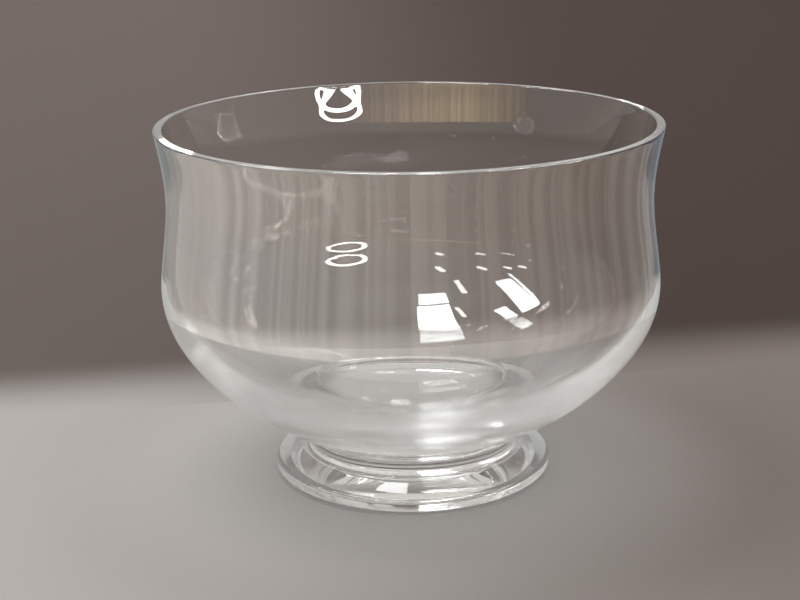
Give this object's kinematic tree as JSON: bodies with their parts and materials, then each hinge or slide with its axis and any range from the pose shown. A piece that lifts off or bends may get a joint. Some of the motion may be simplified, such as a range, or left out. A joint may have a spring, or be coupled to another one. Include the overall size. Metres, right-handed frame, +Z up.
{
  "type": "footed glass bowl",
  "caption": "Round clear glass bowl with a flared mouth, ground flat rim and thick base, fused by a short collar to a round foot.",
  "frame": {"origin": "centre of the foot's underside, on the plane that the bowl stands on", "axes": "+Z up along the axis that the glass is turned about; +X and +Y are any two level directions"},
  "size_m": [0.25, 0.25, 0.18],
  "materials": {
    "clear_glass": "fire-polished colourless glass, with a ground and polished flat rim"
  },
  "bodies": {
    "root": {"bowl": "clear_glass", "stem_collar": "clear_glass", "foot": "clear_glass"}
  },
  "joints": []
}
